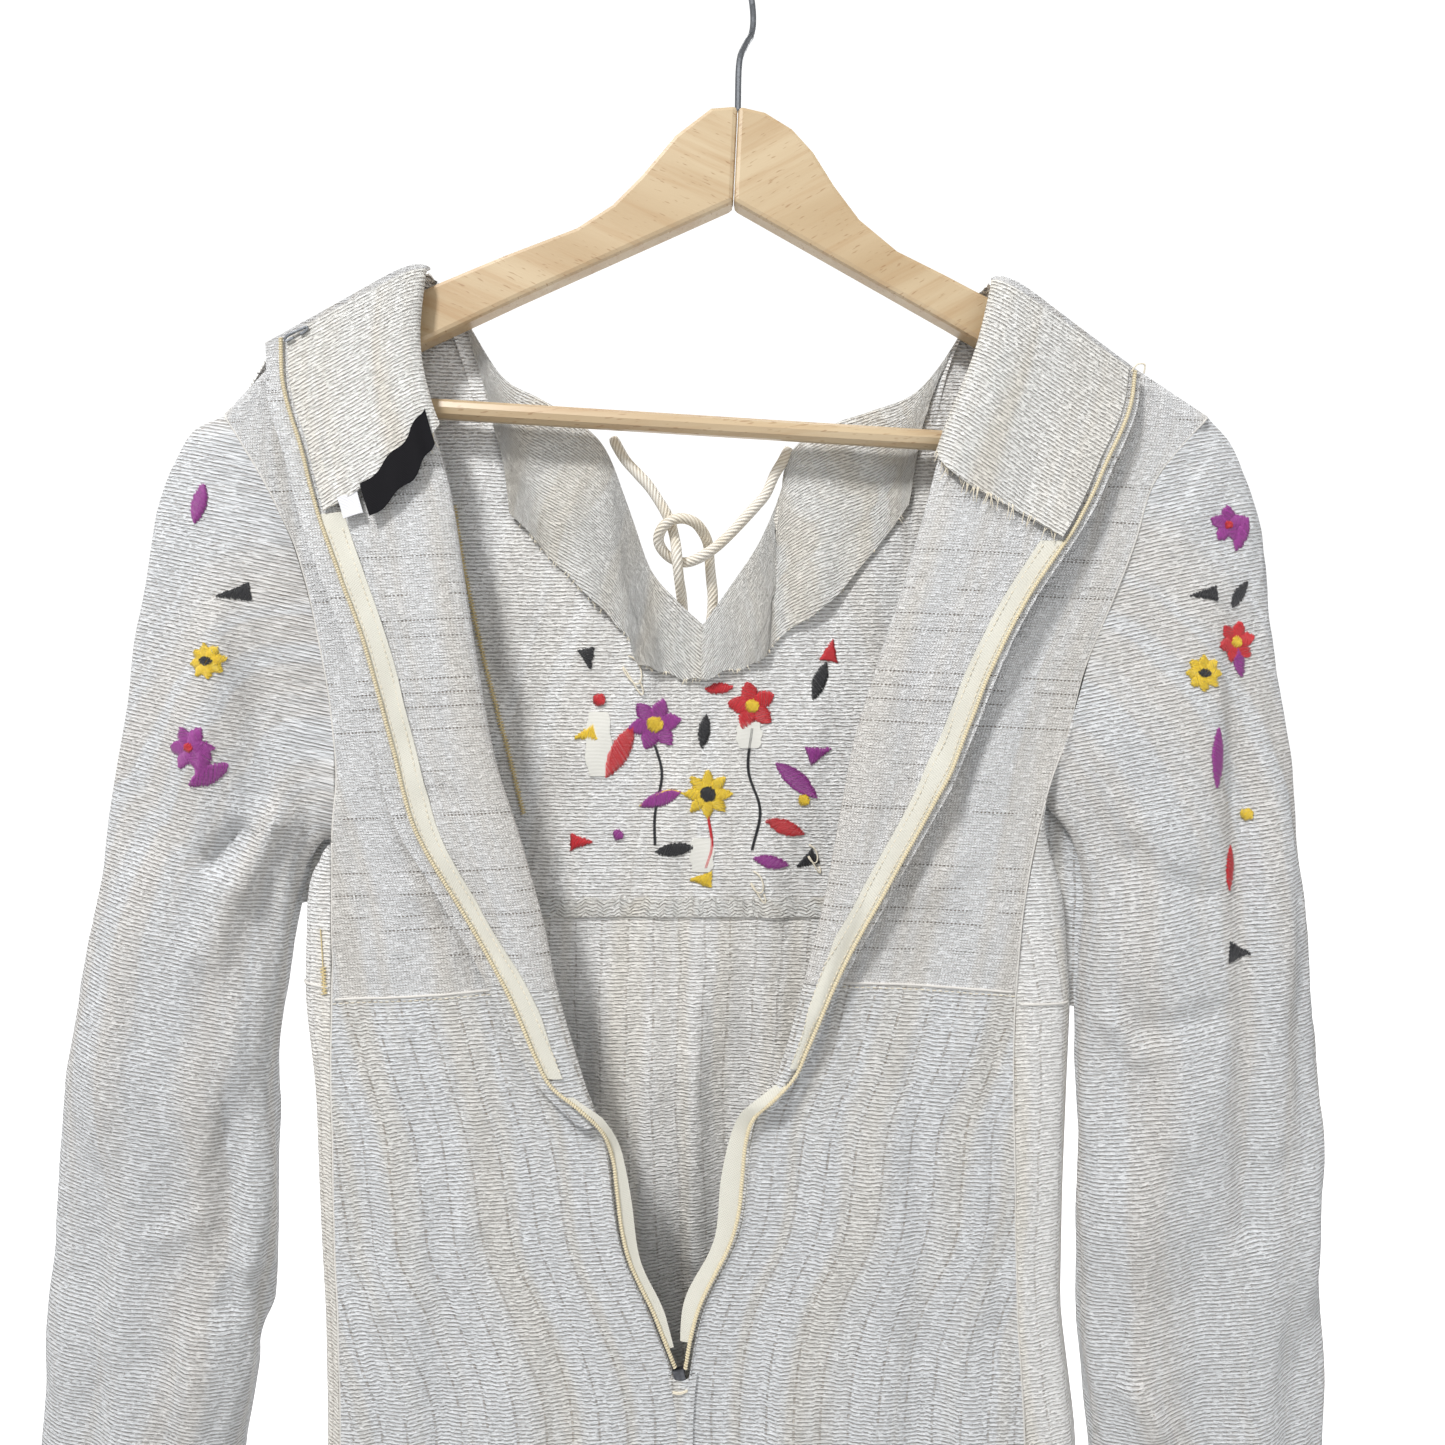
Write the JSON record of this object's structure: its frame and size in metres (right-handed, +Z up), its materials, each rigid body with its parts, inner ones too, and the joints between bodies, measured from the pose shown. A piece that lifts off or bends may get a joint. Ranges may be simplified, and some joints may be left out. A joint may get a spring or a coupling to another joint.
{
  "type": "tunic shirt on a hanger",
  "caption": "Long-sleeved handwoven cotton tunic, seen from the back with its zip open and turned out, on a wooden hanger with a trouser bar and a steel hook.",
  "frame": {"origin": "the point of the steel hook that hangs on a rail, inside the top of its bend", "axes": "+Z up, X across the shoulders, +Y from the back, which shows, to the front"},
  "size_m": [0.6247, 0.0614, 0.9173],
  "materials": {
    "cloth": "slubby handwoven cotton",
    "tape": "woven zip tape",
    "coil": "nylon coil",
    "slider_metal": "dark worn zinc",
    "label": "woven damask, bare",
    "size_tab": "printed satin tape, bare",
    "wood": "clear lacquered beech",
    "hook_steel": "zinc plated wire"
  },
  "bodies": {
    "root": {"front_yoke": "cloth", "front_skirt": "cloth", "back_yoke_left": "cloth", "back_yoke_right": "cloth", "back_skirt_left": "cloth", "back_skirt_right": "cloth", "sleeve_left": "cloth", "sleeve_right": "cloth", "front_neck_facing": "cloth", "back_neck_facing_left": "cloth", "back_neck_facing_right": "cloth", "front_seam_allowance": "cloth", "tie_left": "cloth", "tie_right": "cloth", "zip_tape_left": "tape", "zip_tape_right": "tape", "zip_coil_left": "coil", "zip_coil_right": "coil", "neck_eye": "coil", "zip_slider": "slider_metal", "neck_hook": "slider_metal", "neck_label": "label", "size_tab": "size_tab", "hanger_arm_left": "wood", "hanger_arm_right": "wood", "hanger_bar": "wood", "hanger_hook": "hook_steel"},
    "pull_tab": {"zip_pull": "slider_metal"}
  },
  "joints": [
    {"name": "pull_tab_swing", "type": "hinge", "parent": "root", "child": "pull_tab", "pos_m": [-0.0273, -0.0104, -0.672], "axis": [1, 0, 0], "range_deg": [0, 80]}
  ]
}
